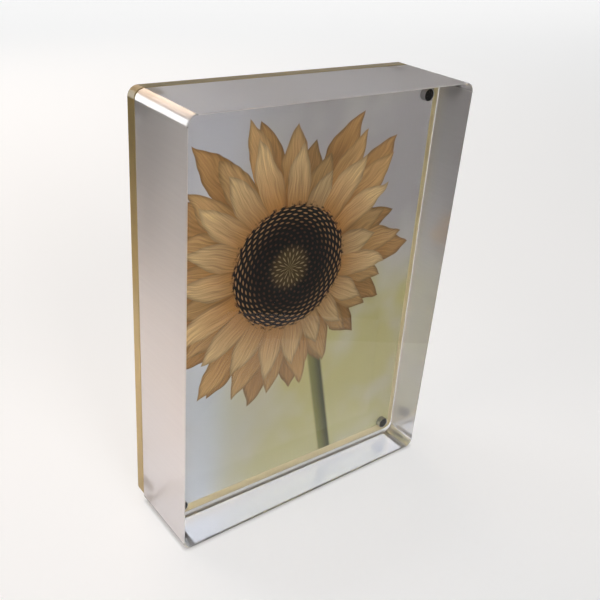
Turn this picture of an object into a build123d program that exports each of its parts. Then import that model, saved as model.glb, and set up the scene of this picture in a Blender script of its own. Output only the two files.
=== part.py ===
"""Acrylic block frame: a thick clear block and a thin tinted back panel, held together by four pairs of
magnets, with a paper print between them. Millimetres, +Z up, the front faces -Y, and the origin is the
middle of the footprint on the table."""

import os

from build123d import *

# Front block
block_width = 130.0
block_height = 180.0
block_depth = 35.0
block_corner_radius = 4.0
block_edge_chamfer = 0.4

# Back panel: as wide as the block and level with its top, but it stops short of the table
panel_thickness = 5.0
panel_foot_gap = 1.5
panel_edge_chamfer = 0.3

# Print: a sheet of photo paper with a margin to each edge of the block
print_thickness = 0.2
print_side_margin = 3.0
print_top_margin = 4.0
print_bottom_margin = 6.0
print_clearance = 0.05

# Magnets: one in each corner of the block, faced by one in the panel across the print
magnet_diameter = 5.0
magnet_inset = 8.0
magnet_edge_chamfer = 0.2
block_magnet_length = 5.0
panel_magnet_cover = 1.9
bore_side_clearance = 0.05
bore_end_clearance = 0.1

# Places along the depth, from the front face to the panel's mating face
print_gap = print_thickness + 2 * print_clearance
frame_depth = block_depth + print_gap + panel_thickness
front_y = -frame_depth / 2
block_back_y = front_y + block_depth
print_front_y = block_back_y + print_clearance
panel_front_y = block_back_y + print_gap

# Sizes that follow from those above
panel_height = block_height - panel_foot_gap
print_width = block_width - 2 * print_side_margin
print_height = block_height - print_top_margin - print_bottom_margin
magnet_radius = magnet_diameter / 2
bore_radius = magnet_radius + bore_side_clearance
block_bore_depth = block_magnet_length + bore_end_clearance
panel_bore_depth = panel_thickness - panel_magnet_cover
panel_magnet_length = panel_bore_depth - bore_end_clearance
magnet_spacing_x = block_width - 2 * magnet_inset
magnet_spacing_z = block_height - 2 * magnet_inset

# Corners as seen from the front: the sign of X, and the height of the magnet's axis
corners = {
    "top_left": (-1, block_height - magnet_inset),
    "top_right": (1, block_height - magnet_inset),
    "bottom_left": (-1, magnet_inset),
    "bottom_right": (1, magnet_inset),
}


def upright_plane(x, y, z, facing):
    """Plane parallel to the front face, whose normal points back (facing 1) or forward (facing -1)."""
    return Plane(origin=(x, y, z), x_dir=(1, 0, 0), z_dir=(0, facing, 0))


os.makedirs("parts", exist_ok=True)

# Front block, with blind magnet bores in its back face
block_mating_plane = upright_plane(0, block_back_y, block_height / 2, 1)
with BuildPart() as front_block:
    with BuildSketch(upright_plane(0, front_y, block_height / 2, 1)):
        RectangleRounded(block_width, block_height, block_corner_radius)
    extrude(amount=block_depth)
    rims = front_block.faces().filter_by(Axis.Y).edges()
    chamfer(rims, length=block_edge_chamfer)
    with Locations(block_mating_plane):
        with GridLocations(magnet_spacing_x, magnet_spacing_z, 2, 2):
            Hole(radius=bore_radius, depth=block_bore_depth)
front_block.part.label = "front_block"
export_step(front_block.part, "parts/front_block.step")

# Back panel, with blind magnet bores in the face that meets the print
panel_mating_plane = upright_plane(0, panel_front_y, block_height / 2, -1)
with BuildPart() as back_panel:
    with BuildSketch(upright_plane(0, panel_front_y, panel_foot_gap + panel_height / 2, 1)):
        RectangleRounded(block_width, panel_height, block_corner_radius)
    extrude(amount=panel_thickness)
    rims = back_panel.faces().filter_by(Axis.Y).edges()
    chamfer(rims, length=panel_edge_chamfer)
    with Locations(panel_mating_plane):
        with GridLocations(magnet_spacing_x, magnet_spacing_z, 2, 2):
            Hole(radius=bore_radius, depth=panel_bore_depth)
back_panel.part.label = "back_panel"
export_step(back_panel.part, "parts/back_panel.step")

# Print, clear of the block and the panel on both sides
with BuildPart() as photo_print:
    with BuildSketch(upright_plane(0, print_front_y, print_bottom_margin + print_height / 2, 1)):
        Rectangle(print_width, print_height)
    extrude(amount=print_thickness)
photo_print.part.label = "photo_print"
export_step(photo_print.part, "parts/photo_print.step")

# Magnets, each level with the face that its bore opens in
magnet_seats = {
    "block_magnet": (block_back_y, -1, block_magnet_length),
    "panel_magnet": (panel_front_y, 1, panel_magnet_length),
}
for kind, (mating_y, inward, length) in magnet_seats.items():
    for corner, (side, axis_z) in corners.items():
        axis_x = side * magnet_spacing_x / 2
        with BuildPart() as magnet:
            with BuildSketch(upright_plane(axis_x, mating_y, axis_z, inward)):
                Circle(magnet_radius)
            extrude(amount=length)
            chamfer(magnet.edges().filter_by(GeomType.CIRCLE), length=magnet_edge_chamfer)
        magnet.part.label = f"{kind}_{corner}"
        export_step(magnet.part, f"parts/{kind}_{corner}.step")
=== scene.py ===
import math

import bpy
from mathutils import Matrix, Vector


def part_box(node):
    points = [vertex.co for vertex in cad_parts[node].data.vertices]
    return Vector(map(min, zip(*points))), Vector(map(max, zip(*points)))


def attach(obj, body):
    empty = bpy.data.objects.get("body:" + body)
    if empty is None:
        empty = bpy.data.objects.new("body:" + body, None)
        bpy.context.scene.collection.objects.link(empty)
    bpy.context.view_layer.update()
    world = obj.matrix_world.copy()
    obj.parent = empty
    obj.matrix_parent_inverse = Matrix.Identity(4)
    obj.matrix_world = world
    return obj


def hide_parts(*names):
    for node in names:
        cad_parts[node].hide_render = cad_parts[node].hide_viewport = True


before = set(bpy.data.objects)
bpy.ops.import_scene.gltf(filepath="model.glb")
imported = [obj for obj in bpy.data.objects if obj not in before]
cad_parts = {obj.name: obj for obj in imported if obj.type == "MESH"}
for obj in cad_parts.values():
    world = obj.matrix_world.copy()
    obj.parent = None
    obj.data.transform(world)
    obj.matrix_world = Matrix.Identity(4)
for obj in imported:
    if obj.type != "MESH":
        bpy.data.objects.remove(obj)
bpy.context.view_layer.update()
MM = 0.001

# Front block: a thick slab of cast acrylic. Its front and back are polished, its walls are milled to a
# satin, its corners are rounded, its rims are broken by a small bevel, and four blind bores are drilled
# into its back for the magnets.
CORNER_RADIUS = 4.0 * MM
BLOCK_BEVEL = 0.4 * MM
BORE_SIDE_CLEARANCE = 0.05 * MM
BORE_END_CLEARANCE = 0.1 * MM
CORNERS = ("top_left", "top_right", "bottom_left", "bottom_right")
ARC_STEPS = 40
BEVEL_STEPS = 3
BORE_SIDES = 64
SAME_PLACE = 0.01 * MM
FACE_ON = 0.99


def linear(colour):
    """sRGB hex, such as 'c8b483', as linear red, green, blue and alpha."""
    shares = [int(colour[i:i + 2], 16) / 255 for i in (0, 2, 4)]
    return [s / 12.92 if s <= 0.04045 else ((s + 0.055) / 1.055) ** 2.4 for s in shares] + [1.0]


def add(tree, kind, inputs=None, out=0, **settings):
    """Adds a node, sets its properties, links or sets its inputs, and returns one of its outputs."""
    node = tree.nodes.new("ShaderNode" + kind)
    for name, value in settings.items():
        setattr(node, name, value)
    for socket, value in (inputs or {}).items():
        if isinstance(value, bpy.types.NodeSocket):
            tree.links.new(value, node.inputs[socket])
        else:
            node.inputs[socket].default_value = value
    return node.outputs[out]


def new_material(name):
    """An empty material and its node tree."""
    material = bpy.data.materials.new(name)
    material.use_nodes = True
    material.node_tree.nodes.clear()
    return material, material.node_tree


def finish_material(tree, shader):
    """Shows the shader on the surface."""
    output = tree.nodes.new("ShaderNodeOutputMaterial")
    tree.links.new(shader, output.inputs["Surface"])


def bevel_edges(piece, wanted, width, steps):
    """Bevels the edges whose two ends pass the test."""
    bpy.ops.object.select_all(action="DESELECT")
    piece.select_set(True)
    bpy.context.view_layer.objects.active = piece
    bpy.ops.object.mode_set(mode="EDIT")
    bpy.ops.mesh.select_mode(type="EDGE")
    bpy.ops.mesh.select_all(action="DESELECT")
    bpy.ops.object.mode_set(mode="OBJECT")
    ends = piece.data.vertices
    for edge in piece.data.edges:
        a, b = edge.vertices
        edge.select = wanted(ends[a].co, ends[b].co)
    bpy.ops.object.mode_set(mode="EDIT")
    bpy.ops.mesh.bevel(offset=width, segments=steps, profile=0.5)
    bpy.ops.object.mode_set(mode="OBJECT")


def acrylic_slab(name, node, bevel_width, magnets, mating_side):
    """A slab as large as its CAD node, with rounded corners, bevelled rims and blind magnet bores.

    The bores open in its front (mating side -1) or its back (1). Faces that don't look straight to the
    front or the back are marked as milled, and those of the corners as rounded too.
    """
    low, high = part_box(node)
    bpy.ops.object.select_all(action="DESELECT")
    bpy.ops.mesh.primitive_cube_add(size=1, location=(low + high) / 2, scale=high - low)
    slab = bpy.context.object
    slab.name = slab.data.name = name
    bpy.ops.object.transform_apply(location=True, rotation=False, scale=True)
    bevel_edges(slab, lambda a, b: abs(a.y - b.y) > SAME_PLACE, CORNER_RADIUS, ARC_STEPS)
    bevel_edges(slab, lambda a, b: abs(a.y - b.y) < SAME_PLACE, bevel_width, BEVEL_STEPS)
    bpy.ops.object.select_all(action="DESELECT")
    cutters = []
    for magnet in magnets:
        magnet_low, magnet_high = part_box(magnet)
        length = magnet_high.y - magnet_low.y + BORE_END_CLEARANCE
        centre = (magnet_low + magnet_high) / 2
        centre.y = low.y if mating_side < 0 else high.y
        bpy.ops.mesh.primitive_cylinder_add(
            vertices=BORE_SIDES,
            radius=(magnet_high.x - magnet_low.x) / 2 + BORE_SIDE_CLEARANCE,
            depth=2 * length,
            location=centre,
            rotation=(math.pi / 2, 0, 0),
        )
        cutters.append(bpy.context.object)
    for cutter in cutters:
        cutter.select_set(True)
    bpy.ops.object.join()
    cutter = bpy.context.object
    bores = slab.modifiers.new("bores", "BOOLEAN")
    bores.operation = "DIFFERENCE"
    bores.solver = "EXACT"
    bores.object = cutter
    bpy.context.view_layer.objects.active = slab
    bpy.ops.object.modifier_apply(modifier="bores")
    bpy.data.objects.remove(cutter)
    for finish in ("milled", "rounded"):
        slab.data.attributes.new(finish, "FLOAT", "FACE")
    finishes = slab.data.attributes
    for face in slab.data.polygons:
        side_gap = min(face.center.x - low.x, high.x - face.center.x)
        end_gap = min(face.center.z - low.z, high.z - face.center.z)
        is_wall = abs(face.normal.y) < FACE_ON
        is_arc = SAME_PLACE < min(side_gap, end_gap) and max(side_gap, end_gap) < CORNER_RADIUS
        finishes["milled"].data[face.index].value = float(is_wall)
        finishes["rounded"].data[face.index].value = float(is_wall and is_arc)
    return slab


block = acrylic_slab(
    "clear_block", "front_block", BLOCK_BEVEL, [f"block_magnet_{c}" for c in CORNERS], 1
)
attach(block, "block")
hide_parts("front_block")

# Cast acrylic: its faces are clear. From outside a wall looks like satin silver, because its skin
# scatters light, and from inside it mirrors the print, a little blurred. The rounded corners are buffed.
# The cutter's streaks run from front to back, and are drawn 1.2 mm wide so that they show.
ACRYLIC_IOR = 1.49
WALL_ROUGHNESS = 0.36
STREAK_ROUGHNESS = 0.12
WALL_ROUGHNESS_INSIDE = 0.12
ARC_ROUGHNESS = 0.08
BUFF_ROUGHNESS = 0.1
BUFF_IOR = 1.6
WALL_CLEARNESS = 0.65
WALL_GLOW = 0.27
WALL_GLOW_INSIDE = 0.4
ARC_GLOW_INSIDE = 0.15
STREAK_WIDTH = 1.2 * MM
STREAK_LENGTH = 40.0 * MM
COLOUR_MIX = {"out": 2, "data_type": "RGBA"}
clear_acrylic, tree = new_material("cast acrylic, polished faces and milled walls")
is_milled = add(tree, "Attribute", attribute_name="milled", out="Fac")
is_rounded = add(tree, "Attribute", attribute_name="rounded", out="Fac")
place = add(tree, "TexCoord", out="Object")
streak_place = add(
    tree,
    "Mapping",
    {"Vector": place, "Scale": (1 / STREAK_WIDTH, 1 / STREAK_LENGTH, 1 / STREAK_WIDTH)},
)
streaks = add(tree, "TexNoise", {"Vector": streak_place, "Scale": 1.0, "Detail": 3.0}, out="Fac")
from_inside = add(tree, "NewGeometry", out="Backfacing")
from_outside = add(tree, "Math", {0: 1.0, 1: from_inside}, operation="SUBTRACT")
outer_skin = add(tree, "Math", {0: is_milled, 1: from_outside}, operation="MULTIPLY")
flat_roughness = add(
    tree,
    "Math",
    {0: streaks, 1: STREAK_ROUGHNESS, 2: WALL_ROUGHNESS - STREAK_ROUGHNESS / 2},
    operation="MULTIPLY_ADD",
)
outer_roughness = add(tree, "Mix", {0: is_rounded, 2: flat_roughness, 3: ARC_ROUGHNESS})
skin_roughness = add(tree, "Mix", {0: from_inside, 2: outer_roughness, 3: WALL_ROUGHNESS_INSIDE})
wall_roughness = add(tree, "Math", {0: is_milled, 1: skin_roughness}, operation="MULTIPLY")
wall_clearness = add(
    tree, "Math", {0: outer_skin, 1: WALL_CLEARNESS - 1.0, 2: 1.0}, operation="MULTIPLY_ADD"
)
streak_tint = add(tree, "Mix", {0: streaks, 6: linear("dad6d3"), 7: linear("e4e0dd")}, **COLOUR_MIX)
wall_tint = add(tree, "Mix", {0: is_milled, 6: linear("ffffff"), 7: streak_tint}, **COLOUR_MIX)
mirror_tint = add(
    tree, "Mix", {0: is_rounded, 6: linear("6c6c6c"), 7: linear("ffffff")}, **COLOUR_MIX
)
shader = add(
    tree,
    "BsdfPrincipled",
    {
        "Base Color": wall_tint,
        "Roughness": wall_roughness,
        "IOR": ACRYLIC_IOR,
        "Transmission Weight": wall_clearness,
        "Specular Tint": mirror_tint,
        "Coat Weight": is_rounded,
        "Coat Roughness": BUFF_ROUGHNESS,
        "Coat IOR": BUFF_IOR,
    },
)
glow = add(tree, "BsdfTranslucent", {"Color": streak_tint})
inner_glow = add(tree, "Mix", {0: is_rounded, 2: WALL_GLOW_INSIDE, 3: ARC_GLOW_INSIDE})
skin_glow = add(tree, "Mix", {0: from_inside, 2: WALL_GLOW, 3: inner_glow})
glow_share = add(tree, "Math", {0: is_milled, 1: skin_glow}, operation="MULTIPLY")
shader = add(tree, "MixShader", {0: glow_share, 1: shader, 2: glow})
finish_material(tree, shader)
block.data.materials.append(clear_acrylic)

# Magnets: pressed discs, barrel-plated with nickel and glued into the bores. The plating is bright, with
# a grain of small dull dents, half a millimetre across, from tumbling in the barrel.
DENT_SIZE = 0.5 * MM
DENT_DEPTH = 0.02 * MM
DENT_STRENGTH = 0.15
NOISE_SPAN = {1: 0.3, 2: 0.7}
NICKEL_ROUGHNESS = {3: 0.14, 4: 0.3}
nickel, tree = new_material("nickel plating")
place = add(tree, "TexCoord", out="Object")
dents = add(tree, "TexNoise", {"Vector": place, "Scale": 1 / DENT_SIZE, "Detail": 2.0}, out="Fac")
plating = add(tree, "Mix", {0: dents, 6: linear("2e2c2b"), 7: linear("4c4946")}, **COLOUR_MIX)
dullness = add(tree, "MapRange", {0: dents, **NOISE_SPAN, **NICKEL_ROUGHNESS})
relief = add(tree, "Bump", {"Height": dents, "Strength": DENT_STRENGTH, "Distance": DENT_DEPTH})
shader = add(
    tree,
    "BsdfPrincipled",
    {
        "Base Color": plating,
        "Metallic": 1.0,
        "Roughness": dullness,
        "Specular Tint": linear("606060"),
        "Normal": relief,
    },
)
finish_material(tree, shader)
for kind in ("block_magnet", "panel_magnet"):
    for corner in CORNERS:
        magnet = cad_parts[f"{kind}_{corner}"]
        magnet.data.materials.clear()
        magnet.data.materials.append(nickel)

# Print: a sheet of satin photo paper, trimmed to size and laid loose against the block. Its front shows
# a large seed head with tawny petals against a soft lilac and olive background; its back is plain white.
FLOWER_X = -6.0
FLOWER_Z = 16.0
SEED_HEAD_RADIUS = 27.0
SEED_SPACING = 1.35
GOLDEN_SHARE = (3.0 - math.sqrt(5.0)) / 2.0
SPIRAL_ARMS = (8, 13, 21, 34, 55)
PAPER_GRAIN = 0.4
PAPER_GRAIN_DEPTH = 0.02 * MM
PAPER_GRAIN_STRENGTH = 0.05
PAPER_ROUGHNESS = {3: 0.44, 4: 0.56}
PAPER_GLOSS = 0.15
FRONT_SIDE = {1: 0.02, 2: -0.02}
SMOOTH_STEP = {"interpolation_type": "SMOOTHSTEP"}

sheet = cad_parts["photo_print"]
sheet_low, sheet_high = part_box("photo_print")
sheet_centre = (sheet_low + sheet_high) / 2
paper, tree = new_material("satin photo paper")
place = add(tree, "TexCoord", out="Object")
place_mm = add(
    tree,
    "Mapping",
    {"Vector": place, "Location": -sheet_centre / MM, "Scale": (1 / MM, 1 / MM, 1 / MM)},
)
axes = add(tree, "SeparateXYZ", {0: place_mm}).node.outputs
across = axes["X"]
up = axes["Z"]
from_x = add(tree, "Math", {0: across, 1: FLOWER_X}, operation="SUBTRACT")
from_z = add(tree, "Math", {0: up, 1: FLOWER_Z}, operation="SUBTRACT")
from_flower = add(tree, "CombineXYZ", {"X": from_x, "Y": from_z})
radius = add(tree, "VectorMath", {0: from_flower}, out="Value", operation="LENGTH")
angle = add(tree, "Math", {0: from_z, 1: from_x}, operation="ARCTAN2")

# The background is out of focus: lilac grey above, olive on the right and pale grey on the left below.
# Each blend is given by where it begins and ends, in millimetres from the middle of the sheet.
DRIFT_PER_MM = 0.014
DRIFT_SPAN = 80.0
TO_RIGHT = {1: -40.0, 2: 5.0}
TO_SKY = {1: -15.0, 2: 25.0}
TO_FOOT = {1: -45.0, 2: -80.0}
HAZE_PER_MM = 0.03
HAZE_SHARE = {1: 0.45, 2: 0.7, 4: 0.5}
drift = add(tree, "TexNoise", {"Vector": place_mm, "Scale": DRIFT_PER_MM, "Detail": 1.0}, out="Fac")
drift_mm = add(
    tree, "Math", {0: drift, 1: DRIFT_SPAN, 2: -DRIFT_SPAN / 2}, operation="MULTIPLY_ADD"
)
height = add(tree, "Math", {0: up, 1: drift_mm}, operation="ADD")
side = add(tree, "Math", {0: across, 1: drift_mm}, operation="ADD")
is_right = add(tree, "MapRange", {0: side, **TO_RIGHT}, **SMOOTH_STEP)
meadow = add(tree, "Mix", {0: is_right, 6: linear("c2c6ca"), 7: linear("b0a874")}, **COLOUR_MIX)
is_high = add(tree, "MapRange", {0: height, **TO_SKY}, **SMOOTH_STEP)
sky = add(tree, "Mix", {0: is_right, 6: linear("bab9be"), 7: linear("a39f9f")}, **COLOUR_MIX)
picture = add(tree, "Mix", {0: is_high, 6: meadow, 7: sky}, **COLOUR_MIX)
is_low = add(tree, "MapRange", {0: height, **TO_FOOT}, **SMOOTH_STEP)
is_low_right = add(tree, "Math", {0: is_low, 1: is_right}, operation="MULTIPLY")
picture = add(tree, "Mix", {0: is_low_right, 6: picture, 7: linear("b3ad80")}, **COLOUR_MIX)
haze = add(tree, "TexNoise", {"Vector": place_mm, "Scale": HAZE_PER_MM, "Detail": 2.0}, out="Fac")
haze_share = add(tree, "MapRange", {0: haze, **HAZE_SHARE}, **SMOOTH_STEP)
picture = add(tree, "Mix", {0: haze_share, 6: picture, 7: linear("bcb9b4")}, **COLOUR_MIX)

# The stem leans to the right below the bloom, darker on its shaded side.
STEM_LEAN = -0.2
STEM_X = 4.0
STEM_EDGE = {1: 4.2, 2: 2.6}
STEM_TOP = {1: 5.0, 2: -5.0}
STEM_SHADE = {1: -3.0, 2: 3.0}
stem_middle = add(tree, "Math", {0: up, 1: STEM_LEAN, 2: STEM_X}, operation="MULTIPLY_ADD")
stem_off = add(tree, "Math", {0: across, 1: stem_middle}, operation="SUBTRACT")
stem_reach = add(tree, "Math", {0: stem_off}, operation="ABSOLUTE")
stem_width = add(tree, "MapRange", {0: stem_reach, **STEM_EDGE}, **SMOOTH_STEP)
stem_below = add(tree, "MapRange", {0: up, **STEM_TOP}, **SMOOTH_STEP)
stem_share = add(tree, "Math", {0: stem_width, 1: stem_below}, operation="MULTIPLY")
stem_shade = add(tree, "MapRange", {0: stem_off, **STEM_SHADE}, **SMOOTH_STEP)
stem = add(tree, "Mix", {0: stem_shade, 6: linear("736f39"), 7: linear("38391d")}, **COLOUR_MIX)
picture = add(tree, "Mix", {0: stem_share, 6: picture, 7: stem}, **COLOUR_MIX)

# The petals stand in three rings. No two are alike: each has its own length, lean, shade and veins.
PETAL_SWING_PER_MM = 0.05
PETAL_SWING = 0.16
PETAL_STRAY = 0.3
SHORTEST_PETAL = 0.78
PETAL_LENGTH_SPREAD = 0.3
PETAL_BULGE = 1.6
PETAL_EDGE = {1: 0.0, 2: 0.5}
PETAL_RIM_LIGHT = {1: 0.0, 2: 2.4, 3: 0.55, 4: 1.0}
PETAL_OWN_LIGHT = {3: 0.72, 4: 1.1}
PETAL_TIP = {1: 0.4, 2: 0.95}
VEINS_PER_MM = 1.6
VEIN_WAVES_PER_MM = 0.07
VEIN_LIGHT = {3: 0.62, 4: 1.12}


def petal_ring(under, count, length, half_width, turn, base, tip):
    """Lays one ring of petals over the picture."""
    lean = add(
        tree,
        "TexNoise",
        {"Vector": from_flower, "Scale": PETAL_SWING_PER_MM, "Detail": 2.0},
        out="Fac",
    )
    swung = add(tree, "Math", {0: lean, 1: PETAL_SWING, 2: angle}, operation="MULTIPLY_ADD")
    turns = add(tree, "Math", {0: swung, 1: count / math.tau, 2: turn}, operation="MULTIPLY_ADD")
    index = add(tree, "Math", {0: turns}, operation="FLOOR")
    share = add(tree, "Math", {0: turns, 1: index}, operation="SUBTRACT")
    chance = add(tree, "TexWhiteNoise", {"W": index}, out="Value", noise_dimensions="1D")
    middle = add(
        tree, "Math", {0: chance, 1: PETAL_STRAY, 2: 0.5 - PETAL_STRAY / 2}, operation="MULTIPLY_ADD"
    )
    off = add(tree, "Math", {0: share, 1: middle}, operation="SUBTRACT")
    off_turned = add(tree, "Math", {0: off, 1: radius}, operation="MULTIPLY")
    off_mm = add(tree, "Math", {0: off_turned, 1: math.tau / count}, operation="MULTIPLY")
    own_length = add(
        tree,
        "Math",
        {0: chance, 1: PETAL_LENGTH_SPREAD * length, 2: SHORTEST_PETAL * length},
        operation="MULTIPLY_ADD",
    )
    along = add(tree, "Math", {0: radius, 1: own_length}, operation="DIVIDE", use_clamp=True)
    late = add(tree, "Math", {0: along, 1: PETAL_BULGE}, operation="POWER")
    half_turn = add(tree, "Math", {0: late, 1: math.pi}, operation="MULTIPLY")
    swell = add(tree, "Math", {0: half_turn}, operation="SINE", use_clamp=True)
    edge = add(tree, "Math", {0: swell, 1: half_width}, operation="MULTIPLY")
    reach = add(tree, "Math", {0: off_mm}, operation="ABSOLUTE")
    inside = add(tree, "Math", {0: edge, 1: reach}, operation="SUBTRACT")
    is_petal = add(tree, "MapRange", {0: inside, **PETAL_EDGE}, **SMOOTH_STEP)
    fine_off = add(tree, "Math", {0: off_mm, 1: VEINS_PER_MM}, operation="MULTIPLY")
    fine_along = add(tree, "Math", {0: radius, 1: VEIN_WAVES_PER_MM}, operation="MULTIPLY")
    vein_place = add(tree, "CombineXYZ", {"X": fine_off, "Y": fine_along, "Z": index})
    veins = add(tree, "TexNoise", {"Vector": vein_place, "Scale": 1.0, "Detail": 4.0}, out="Fac")
    vein_light = add(tree, "MapRange", {0: veins, **NOISE_SPAN, **VEIN_LIGHT})
    rim_light = add(tree, "MapRange", {0: inside, **PETAL_RIM_LIGHT}, **SMOOTH_STEP)
    own_light = add(tree, "MapRange", {0: chance, **PETAL_OWN_LIGHT})
    light = add(tree, "Math", {0: vein_light, 1: rim_light}, operation="MULTIPLY")
    light = add(tree, "Math", {0: light, 1: own_light}, operation="MULTIPLY")
    is_tip = add(tree, "MapRange", {0: along, **PETAL_TIP}, **SMOOTH_STEP)
    colour = add(tree, "Mix", {0: is_tip, 6: linear(base), 7: linear(tip)}, **COLOUR_MIX)
    lit = add(tree, "VectorMath", {0: colour, "Scale": light}, operation="SCALE")
    return add(tree, "Mix", {0: is_petal, 6: under, 7: lit}, **COLOUR_MIX)


picture = petal_ring(picture, 17, 68.0, 8.0, 0.35, "744a24", "a9804f")
picture = petal_ring(picture, 21, 63.0, 7.2, 0.0, "8a5b2c", "bb9562")
picture = petal_ring(picture, 19, 55.0, 6.6, 0.7, "9b6a36", "cfb080")

# The seeds stand in a golden-angle spiral, so waves along five sets of spiral arms all peak on each one.
# They are pale at the rim and in the heart of the head, whose outline is ragged.
SEED_EDGE = {1: 0.2, 2: 2.2}
PALE_RIM = {1: 16.0, 2: 25.0}
PALE_HEART = {1: 11.0, 2: 6.0}
RAGGED_PER_MM = 0.5
RAGGED_SPAN = 7.0
HEAD_EDGE = {1: SEED_HEAD_RADIUS + 4.5, 2: SEED_HEAD_RADIUS + 2.5}
seed_rank = add(tree, "Math", {0: radius, 1: SEED_SPACING}, operation="DIVIDE")
seed_rank = add(tree, "Math", {0: seed_rank, 1: 2.0}, operation="POWER")
seed_height = None
for arms in SPIRAL_ARMS:
    twist = math.tau * (round(arms * GOLDEN_SHARE) - arms * GOLDEN_SHARE)
    climb = add(tree, "Math", {0: seed_rank, 1: twist}, operation="MULTIPLY")
    phase = add(tree, "Math", {0: angle, 1: float(arms), 2: climb}, operation="MULTIPLY_ADD")
    wave = add(tree, "Math", {0: phase}, operation="COSINE")
    if seed_height is None:
        seed_height = wave
    else:
        seed_height = add(tree, "Math", {0: seed_height, 1: wave}, operation="ADD")
is_seed = add(tree, "MapRange", {0: seed_height, **SEED_EDGE}, **SMOOTH_STEP)
is_outer = add(tree, "MapRange", {0: radius, **PALE_RIM}, **SMOOTH_STEP)
is_inner = add(tree, "MapRange", {0: radius, **PALE_HEART}, **SMOOTH_STEP)
seed_top = add(tree, "Mix", {0: is_outer, 6: linear("3b2618"), 7: linear("a27a50")}, **COLOUR_MIX)
seed_top = add(tree, "Mix", {0: is_inner, 6: seed_top, 7: linear("8a7858")}, **COLOUR_MIX)
seed_gap = add(tree, "Mix", {0: is_inner, 6: linear("100b08"), 7: linear("3d3017")}, **COLOUR_MIX)
seeds = add(tree, "Mix", {0: is_seed, 6: seed_gap, 7: seed_top}, **COLOUR_MIX)
ragged = add(
    tree, "TexNoise", {"Vector": from_flower, "Scale": RAGGED_PER_MM, "Detail": 3.0}, out="Fac"
)
ragged_radius = add(tree, "Math", {0: ragged, 1: RAGGED_SPAN, 2: radius}, operation="MULTIPLY_ADD")
is_head = add(tree, "MapRange", {0: ragged_radius, **HEAD_EDGE}, **SMOOTH_STEP)
picture = add(tree, "Mix", {0: is_head, 6: picture, 7: seeds}, **COLOUR_MIX)

# Satin photo paper: the picture is on its front alone, and a fine grain dulls and ruffles both sides.
is_front = add(tree, "MapRange", {0: axes["Y"], **FRONT_SIDE}, **SMOOTH_STEP)
paper_colour = add(tree, "Mix", {0: is_front, 6: linear("efece6"), 7: picture}, **COLOUR_MIX)
grain = add(tree, "TexNoise", {"Vector": place_mm, "Scale": 1 / PAPER_GRAIN, "Detail": 2.0}, out="Fac")
sheen = add(tree, "MapRange", {0: grain, **NOISE_SPAN, **PAPER_ROUGHNESS})
relief = add(
    tree,
    "Bump",
    {"Height": grain, "Strength": PAPER_GRAIN_STRENGTH, "Distance": PAPER_GRAIN_DEPTH},
)
shader = add(
    tree,
    "BsdfPrincipled",
    {
        "Base Color": paper_colour,
        "Roughness": sheen,
        "Specular IOR Level": PAPER_GLOSS,
        "Normal": relief,
    },
)
finish_material(tree, shader)
sheet.data.materials.clear()
sheet.data.materials.append(paper)

# Back panel: a thin sheet of straw-tinted acrylic, as wide as the block and held to it by the magnets in
# its four bores. Its faces are satin, with a faint cloud in the tint. Its edges are polished, glow with
# the light inside the sheet and keep faint saw marks, here drawn 0.8 mm wide so that they show.
PANEL_BEVEL = 0.3 * MM
CLOUD_SIZE = 30.0 * MM
SAW_MARK_WIDTH = 0.8 * MM
SAW_MARK_LENGTH = 8.0 * MM
SATIN_ROUGHNESS = {3: 0.3, 4: 0.38}
EDGE_ROUGHNESS = {3: 0.07, 4: 0.13}
FACE_CLEARNESS = 0.5
EDGE_CLEARNESS = 0.2
EDGE_GLOW = 0.5
panel = acrylic_slab(
    "tinted_panel", "back_panel", PANEL_BEVEL, [f"panel_magnet_{c}" for c in CORNERS], -1
)
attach(panel, "panel")
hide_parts("back_panel")
tinted_acrylic, tree = new_material("straw-tinted satin acrylic")
is_milled = add(tree, "Attribute", attribute_name="milled", out="Fac")
place = add(tree, "TexCoord", out="Object")
clouds = add(tree, "TexNoise", {"Vector": place, "Scale": 1 / CLOUD_SIZE, "Detail": 2.0}, out="Fac")
mark_place = add(
    tree,
    "Mapping",
    {"Vector": place, "Scale": (1 / SAW_MARK_WIDTH, 1 / SAW_MARK_LENGTH, 1 / SAW_MARK_WIDTH)},
)
marks = add(tree, "TexNoise", {"Vector": mark_place, "Scale": 1.0, "Detail": 2.0}, out="Fac")
face_tint = add(tree, "Mix", {0: clouds, 6: linear("d6c797"), 7: linear("e2d3a7")}, **COLOUR_MIX)
edge_tint = add(tree, "Mix", {0: marks, 6: linear("bcae83"), 7: linear("c3b589")}, **COLOUR_MIX)
panel_tint = add(tree, "Mix", {0: is_milled, 6: face_tint, 7: edge_tint}, **COLOUR_MIX)
satin = add(tree, "MapRange", {0: clouds, **NOISE_SPAN, **SATIN_ROUGHNESS})
polish = add(tree, "MapRange", {0: marks, **NOISE_SPAN, **EDGE_ROUGHNESS})
sheen = add(tree, "Mix", {0: is_milled, 2: satin, 3: polish})
panel_clearness = add(
    tree,
    "Math",
    {0: is_milled, 1: EDGE_CLEARNESS - FACE_CLEARNESS, 2: FACE_CLEARNESS},
    operation="MULTIPLY_ADD",
)
shader = add(
    tree,
    "BsdfPrincipled",
    {
        "Base Color": panel_tint,
        "Roughness": sheen,
        "IOR": ACRYLIC_IOR,
        "Transmission Weight": panel_clearness,
        "Specular Tint": linear("f0dfb4"),
    },
)
glow = add(tree, "BsdfTranslucent", {"Color": face_tint})
edge_glow = add(tree, "Math", {0: is_milled, 1: EDGE_GLOW}, operation="MULTIPLY")
shader = add(tree, "MixShader", {0: edge_glow, 1: shader, 2: glow})
finish_material(tree, shader)
panel.data.materials.append(tinted_acrylic)

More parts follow.
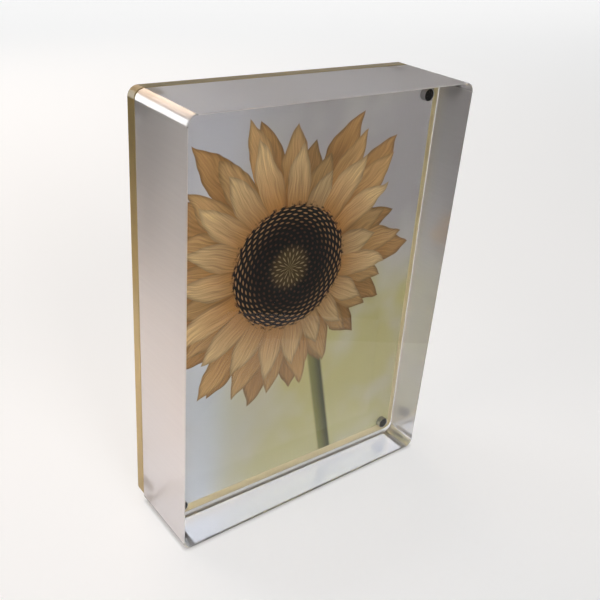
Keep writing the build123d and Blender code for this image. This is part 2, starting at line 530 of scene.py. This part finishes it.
# Table: a plain pale board with a pale backdrop along its far edge. The frame stands near the front
# corner, so that its front and left side face a dim room, and little of the board is mirrored over the
# print. The board is lifted to white wherever it is seen and lies open. Near the frame's lower edges an
# occlusion test fades that whitening out, which paints a contact shade under them.
TABLE_CORNERS = ((-150, -3), (60, -143), (4200, 2640), (-150, 5800))
TABLE_DROP = 0.1
BACKDROP_HEIGHT = 1500
TABLE_WHITENING = 0.6
TABLE_ROUGHNESS = 0.6
SHADE_REACH = 1.9
SHADE_SAMPLES = 8


def seen_share(tree):
    """1 where the surface is seen, plainly, mirrored or through glass, 0 where it only sheds light."""
    rays = add(tree, "LightPath").node.outputs
    seen = add(tree, "Math", {0: rays["Is Camera Ray"], 1: rays["Is Glossy Ray"]}, operation="MAXIMUM")
    seen = add(tree, "Math", {0: seen, 1: rays["Is Transmission Ray"]}, operation="MAXIMUM")
    return add(
        tree, "Math", {0: seen, 1: rays["Diffuse Depth"]}, operation="SUBTRACT", use_clamp=True
    )


board = bpy.data.meshes.new("table")
corners = [Vector((x, y, -TABLE_DROP)) * MM for x, y in TABLE_CORNERS]
corners += [Vector((x, y, BACKDROP_HEIGHT)) * MM for x, y in TABLE_CORNERS[2:]]
board.from_pydata(corners, [], [(0, 1, 2, 3), (2, 4, 5, 3)])
floor = bpy.data.objects.new("table", board)
bpy.context.scene.collection.objects.link(floor)
table_paint, tree = new_material("pale table")
# Painted contact shade: the whitening fades out where the frame lies within SHADE_REACH of the board.
free_of_painted_shade = add(
    tree, "AmbientOcclusion", {"Distance": SHADE_REACH * MM}, out="AO", samples=SHADE_SAMPLES
)
white_share = add(tree, "Math", {0: free_of_painted_shade, 1: TABLE_WHITENING}, operation="MULTIPLY")
whitening = add(tree, "Math", {0: seen_share(tree), 1: white_share}, operation="MULTIPLY")
shader = add(
    tree,
    "BsdfPrincipled",
    {
        "Base Color": linear("a0a0a0"),
        "Roughness": TABLE_ROUGHNESS,
        "Emission Color": linear("ffffff"),
        "Emission Strength": whitening,
    },
)
finish_material(tree, shader)
floor.data.materials.append(table_paint)

# Light: a dim room, a ceiling box over the far part of the table, a key in front, and low boxes near the
# left and right walls. Two boxes behind draw the white and the warm highlight along the rounded corner,
# and a flat one under the foot stands for the light that the white board sends up into the block.
FRAME_MIDDLE = Vector((0.0, 0.0, 0.09))
LAMP_DISTANCE = 1.2
ROOM_LIGHT = 0.02
ROOM_WHITE = 0.1
world = bpy.data.worlds.new("room")
bpy.context.scene.world = world
world.use_nodes = True
tree = world.node_tree
background = tree.nodes["Background"]
background.inputs["Color"].default_value = linear("ffffff")
room = add(tree, "Mix", {0: seen_share(tree), 2: ROOM_LIGHT, 3: ROOM_WHITE})
tree.links.new(room, background.inputs["Strength"])


def soft_box(name, place, aim, width, height, watts, spread=120.0, colour="ffffff"):
    """A rectangular area lamp that faces the aim point."""
    lamp = bpy.data.lights.new(name, "AREA")
    lamp.shape = "RECTANGLE"
    lamp.size = width
    lamp.size_y = height
    lamp.energy = watts
    lamp.spread = math.radians(spread)
    lamp.color = linear(colour)[:3]
    box = bpy.data.objects.new(name, lamp)
    box.location = place
    box.rotation_euler = (Vector(aim) - Vector(place)).to_track_quat("-Z", "Y").to_euler()
    bpy.context.scene.collection.objects.link(box)
    return box


def around(azimuth, elevation):
    """A place on the ring of lamps: azimuth from +X towards +Y and elevation, both in degrees."""
    a = math.radians(azimuth)
    e = math.radians(elevation)
    way = Vector((math.cos(e) * math.cos(a), math.cos(e) * math.sin(a), math.sin(e)))
    return FRAME_MIDDLE + LAMP_DISTANCE * way


# The front and side boxes aren't mirrored, so that their outlines don't show on the block.
soft_box("ceiling", (1.4, 2.2, 2.2), (1.4, 2.2, 0.0), 5.6, 3.4, watts=56.0, spread=60.0)
front = soft_box("front", around(-95, 9), FRAME_MIDDLE, 0.5, 0.35, watts=6.6)
left_near = soft_box(
    "left_near",
    (-0.31, -0.01, 0.062),
    (-0.065, -0.01, 0.062),
    0.3,
    0.08,
    watts=0.215,
    spread=50.0,
    colour="ffe8da",
)
right_near = soft_box(
    "right_near", (0.31, 0.0, 0.07), (0.065, 0.0, 0.07), 0.3, 0.08, watts=0.05, spread=50.0
)
soft_box("back_left", around(119, 11), FRAME_MIDDLE, 0.42, 0.64, watts=2.4)
soft_box("back_warm", around(90, 29), FRAME_MIDDLE, 0.97, 0.38, watts=2.1, colour="ffe0c4")
soft_box(
    "foot",
    (0.0, -0.00265, -0.00005),
    (0.0, -0.00265, 1.0),
    0.118,
    0.03,
    watts=0.0205,
    spread=180.0,
    colour="e6efff",
)
for box in (front, left_near, right_near):
    box.visible_glossy = False
left_near.visible_transmission = False

# Camera: where the photograph was taken from, worked out from the block's edges.
CAMERA_PLACE = Vector((-185.05, -226.19, 244.88)) * MM
CAMERA_HEADING = math.radians(39.5625)
CAMERA_PITCH = math.radians(-27.9011)
CAMERA_ROLL = math.radians(4.8322)
SENSOR_WIDTH = 36.0
LENS = 47.305
CLIP_START = 0.01
LIGHT_BOUNCES = 48
DIFFUSE_BOUNCES = 6
camera = bpy.data.objects.new("camera", bpy.data.cameras.new("camera"))
camera.data.sensor_width = SENSOR_WIDTH
camera.data.lens = LENS
camera.data.clip_start = CLIP_START
turn = (
    Matrix.Rotation(-CAMERA_HEADING, 4, "Z")
    @ Matrix.Rotation(math.pi / 2 + CAMERA_PITCH, 4, "X")
    @ Matrix.Rotation(CAMERA_ROLL, 4, "Z")
)
camera.matrix_world = Matrix.Translation(CAMERA_PLACE) @ turn
bpy.context.scene.collection.objects.link(camera)
scene = bpy.context.scene
scene.camera = camera
scene.view_settings.view_transform = "Standard"
scene.cycles.max_bounces = LIGHT_BOUNCES
scene.cycles.glossy_bounces = LIGHT_BOUNCES
scene.cycles.transmission_bounces = LIGHT_BOUNCES
scene.cycles.diffuse_bounces = DIFFUSE_BOUNCES
